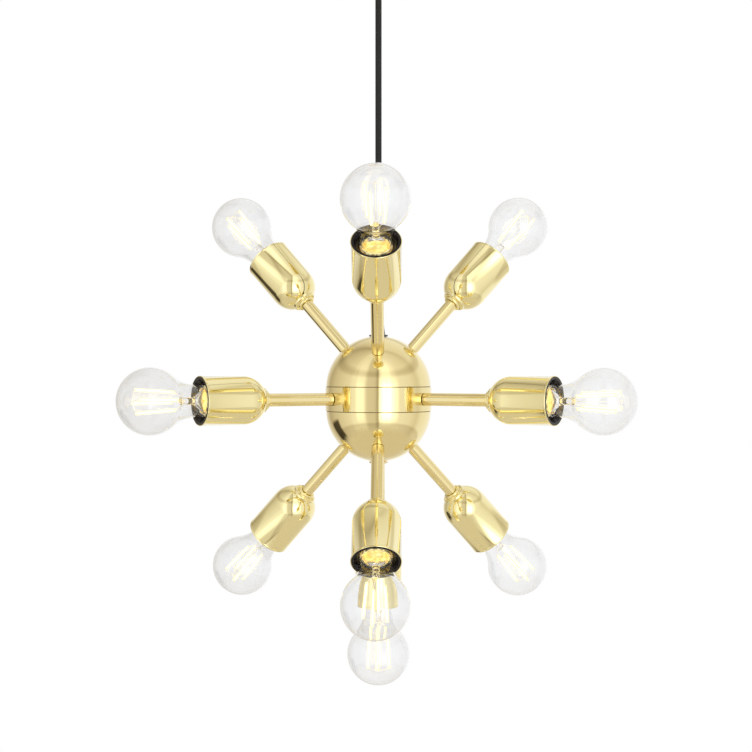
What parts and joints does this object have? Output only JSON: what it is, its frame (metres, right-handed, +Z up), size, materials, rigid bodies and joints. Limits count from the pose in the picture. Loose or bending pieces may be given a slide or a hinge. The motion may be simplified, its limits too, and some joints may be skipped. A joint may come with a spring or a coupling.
{
  "type": "pendant chandelier",
  "caption": "Sputnik-style polished brass pendant: a round hub on a black flex, with straight arms that end in domed cups and clear screw-in filament bulbs.",
  "frame": {"origin": "on the ceiling plane, midway between the bracket's two slots, on the line of the flex", "axes": "+Z up into the ceiling, -Y towards the front, +X to the right seen from the front"},
  "size_m": [0.4558, 0.4495, 0.7043],
  "materials": {
    "polished_brass": "polished and lacquered, mirror-like",
    "contact_brass": "plain satin",
    "cap_brass": "satin, rolled thread",
    "zinc_steel": "zinc plated",
    "black_plastic": "moulded, fine satin",
    "flex_black": "smooth sheath",
    "white_plastic": "moulded",
    "lead_ivory": "soft insulation",
    "clear_glass": "clear, thin blown"
  },
  "bodies": {
    "ceiling_fitting": {"ceiling_bracket": "zinc_steel", "canopy": "polished_brass", "canopy_screws": "polished_brass", "mains_terminal": "white_plastic", "canopy_cord_grip": "black_plastic", "canopy_grip_nut": "zinc_steel", "cord_tail": "flex_black"},
    "cord": {"cord": "flex_black"},
    "chandelier": {"hub_cord_grip": "black_plastic", "hub_upper_shell": "polished_brass", "hub_band": "polished_brass", "hub_lower_shell": "polished_brass", "hub_tie_tube": "zinc_steel", "hub_coupling": "zinc_steel", "hub_connectors": "white_plastic", "hub_lock_nuts": "zinc_steel", "down_arm_flange": "polished_brass", "lampholders": "black_plastic", "lampholder_contacts": "contact_brass", "lamp_leads": "lead_ivory", "arm_tube_1": "polished_brass", "arm_tube_2": "polished_brass", "arm_tube_3": "polished_brass", "arm_tube_4": "polished_brass", "arm_tube_5": "polished_brass", "arm_tube_6": "polished_brass", "arm_tube_7": "polished_brass", "arm_tube_8": "polished_brass", "arm_tube_9": "polished_brass", "arm_tube_10": "polished_brass", "lamp_cup_1": "polished_brass", "lamp_cup_2": "polished_brass", "lamp_cup_3": "polished_brass", "lamp_cup_4": "polished_brass", "lamp_cup_5": "polished_brass", "lamp_cup_6": "polished_brass", "lamp_cup_7": "polished_brass", "lamp_cup_8": "polished_brass", "lamp_cup_9": "polished_brass", "lamp_cup_10": "polished_brass"},
    "lamp_cap_1": {"bulb_base_1": "cap_brass"},
    "lamp_bulb_1": {"bulb_glass_1": "clear_glass"},
    "lamp_cap_2": {"bulb_base_2": "cap_brass"},
    "lamp_bulb_2": {"bulb_glass_2": "clear_glass"},
    "lamp_cap_3": {"bulb_base_3": "cap_brass"},
    "lamp_bulb_3": {"bulb_glass_3": "clear_glass"},
    "lamp_cap_4": {"bulb_base_4": "cap_brass"},
    "lamp_bulb_4": {"bulb_glass_4": "clear_glass"},
    "lamp_cap_5": {"bulb_base_5": "cap_brass"},
    "lamp_bulb_5": {"bulb_glass_5": "clear_glass"},
    "lamp_cap_6": {"bulb_base_6": "cap_brass"},
    "lamp_bulb_6": {"bulb_glass_6": "clear_glass"},
    "lamp_cap_7": {"bulb_base_7": "cap_brass"},
    "lamp_bulb_7": {"bulb_glass_7": "clear_glass"},
    "lamp_cap_8": {"bulb_base_8": "cap_brass"},
    "lamp_bulb_8": {"bulb_glass_8": "clear_glass"},
    "lamp_cap_9": {"bulb_base_9": "cap_brass"},
    "lamp_bulb_9": {"bulb_glass_9": "clear_glass"},
    "lamp_cap_10": {"bulb_base_10": "cap_brass"},
    "lamp_bulb_10": {"bulb_glass_10": "clear_glass"}
  },
  "joints": [
    {"name": "cord_swing", "type": "hinge", "parent": "ceiling_fitting", "child": "cord", "pos_m": [0, 0, -0.034], "axis": [0, 1, 0], "range_deg": [-15, 15]},
    {"name": "chandelier_turn", "type": "hinge", "parent": "cord", "child": "chandelier", "pos_m": [0, 0, -0.363], "axis": [0, 0, 1], "range_deg": [-180, 180]},
    {"name": "lamp_1_travel", "type": "slide", "parent": "chandelier", "child": "lamp_cap_1", "axis": [0, -0.7071, 0.7071], "range_m": [0, 0.0181]},
    {"name": "lamp_1_unscrew", "type": "hinge", "parent": "lamp_cap_1", "child": "lamp_bulb_1", "pos_m": [0, -0.12851, -0.29149], "axis": [0, -0.7071, 0.7071], "range_deg": [0, 1800]},
    {"name": "lamp_2_travel", "type": "slide", "parent": "chandelier", "child": "lamp_cap_2", "axis": [0.6124, 0.3536, 0.7071], "range_m": [0, 0.0181]},
    {"name": "lamp_2_unscrew", "type": "hinge", "parent": "lamp_cap_2", "child": "lamp_bulb_2", "pos_m": [0.11129, 0.06426, -0.29149], "axis": [0.6124, 0.3536, 0.7071], "range_deg": [0, 1800]},
    {"name": "lamp_3_travel", "type": "slide", "parent": "chandelier", "child": "lamp_cap_3", "axis": [-0.6124, 0.3536, 0.7071], "range_m": [0, 0.0181]},
    {"name": "lamp_3_unscrew", "type": "hinge", "parent": "lamp_cap_3", "child": "lamp_bulb_3", "pos_m": [-0.11129, 0.06426, -0.29149], "axis": [-0.6124, 0.3536, 0.7071], "range_deg": [0, 1800]},
    {"name": "lamp_4_travel", "type": "slide", "parent": "chandelier", "child": "lamp_cap_4", "axis": [0.866, -0.5, 0], "range_m": [0, 0.0181]},
    {"name": "lamp_4_unscrew", "type": "hinge", "parent": "lamp_cap_4", "child": "lamp_bulb_4", "pos_m": [0.15805, -0.09125, -0.43], "axis": [0.866, -0.5, 0], "range_deg": [0, 1800]},
    {"name": "lamp_5_travel", "type": "slide", "parent": "chandelier", "child": "lamp_cap_5", "axis": [0, 1, 0], "range_m": [0, 0.0181]},
    {"name": "lamp_5_unscrew", "type": "hinge", "parent": "lamp_cap_5", "child": "lamp_bulb_5", "pos_m": [0, 0.1825, -0.43], "axis": [0, 1, 0], "range_deg": [0, 1800]},
    {"name": "lamp_6_travel", "type": "slide", "parent": "chandelier", "child": "lamp_cap_6", "axis": [-0.866, -0.5, 0], "range_m": [0, 0.0181]},
    {"name": "lamp_6_unscrew", "type": "hinge", "parent": "lamp_cap_6", "child": "lamp_bulb_6", "pos_m": [-0.15805, -0.09125, -0.43], "axis": [-0.866, -0.5, 0], "range_deg": [0, 1800]},
    {"name": "lamp_7_travel", "type": "slide", "parent": "chandelier", "child": "lamp_cap_7", "axis": [0, -0.7071, -0.7071], "range_m": [0, 0.0181]},
    {"name": "lamp_7_unscrew", "type": "hinge", "parent": "lamp_cap_7", "child": "lamp_bulb_7", "pos_m": [0, -0.12851, -0.56851], "axis": [0, -0.7071, -0.7071], "range_deg": [0, 1800]},
    {"name": "lamp_8_travel", "type": "slide", "parent": "chandelier", "child": "lamp_cap_8", "axis": [0.6124, 0.3536, -0.7071], "range_m": [0, 0.0181]},
    {"name": "lamp_8_unscrew", "type": "hinge", "parent": "lamp_cap_8", "child": "lamp_bulb_8", "pos_m": [0.11129, 0.06426, -0.56851], "axis": [0.6124, 0.3536, -0.7071], "range_deg": [0, 1800]},
    {"name": "lamp_9_travel", "type": "slide", "parent": "chandelier", "child": "lamp_cap_9", "axis": [-0.6124, 0.3536, -0.7071], "range_m": [0, 0.0181]},
    {"name": "lamp_9_unscrew", "type": "hinge", "parent": "lamp_cap_9", "child": "lamp_bulb_9", "pos_m": [-0.11129, 0.06426, -0.56851], "axis": [-0.6124, 0.3536, -0.7071], "range_deg": [0, 1800]},
    {"name": "lamp_10_travel", "type": "slide", "parent": "chandelier", "child": "lamp_cap_10", "axis": [0, 0, -1], "range_m": [0, 0.0181]},
    {"name": "lamp_10_unscrew", "type": "hinge", "parent": "lamp_cap_10", "child": "lamp_bulb_10", "pos_m": [0, 0, -0.62834], "axis": [0, 0, -1], "range_deg": [0, 1800]}
  ],
  "couplings": [
    {"joint": "lamp_1_unscrew", "follows": "lamp_1_travel", "rad_per_m": 1735.7},
    {"joint": "lamp_2_unscrew", "follows": "lamp_2_travel", "rad_per_m": 1735.7},
    {"joint": "lamp_3_unscrew", "follows": "lamp_3_travel", "rad_per_m": 1735.7},
    {"joint": "lamp_4_unscrew", "follows": "lamp_4_travel", "rad_per_m": 1735.7},
    {"joint": "lamp_5_unscrew", "follows": "lamp_5_travel", "rad_per_m": 1735.7},
    {"joint": "lamp_6_unscrew", "follows": "lamp_6_travel", "rad_per_m": 1735.7},
    {"joint": "lamp_7_unscrew", "follows": "lamp_7_travel", "rad_per_m": 1735.7},
    {"joint": "lamp_8_unscrew", "follows": "lamp_8_travel", "rad_per_m": 1735.7},
    {"joint": "lamp_9_unscrew", "follows": "lamp_9_travel", "rad_per_m": 1735.7},
    {"joint": "lamp_10_unscrew", "follows": "lamp_10_travel", "rad_per_m": 1735.7}
  ]
}
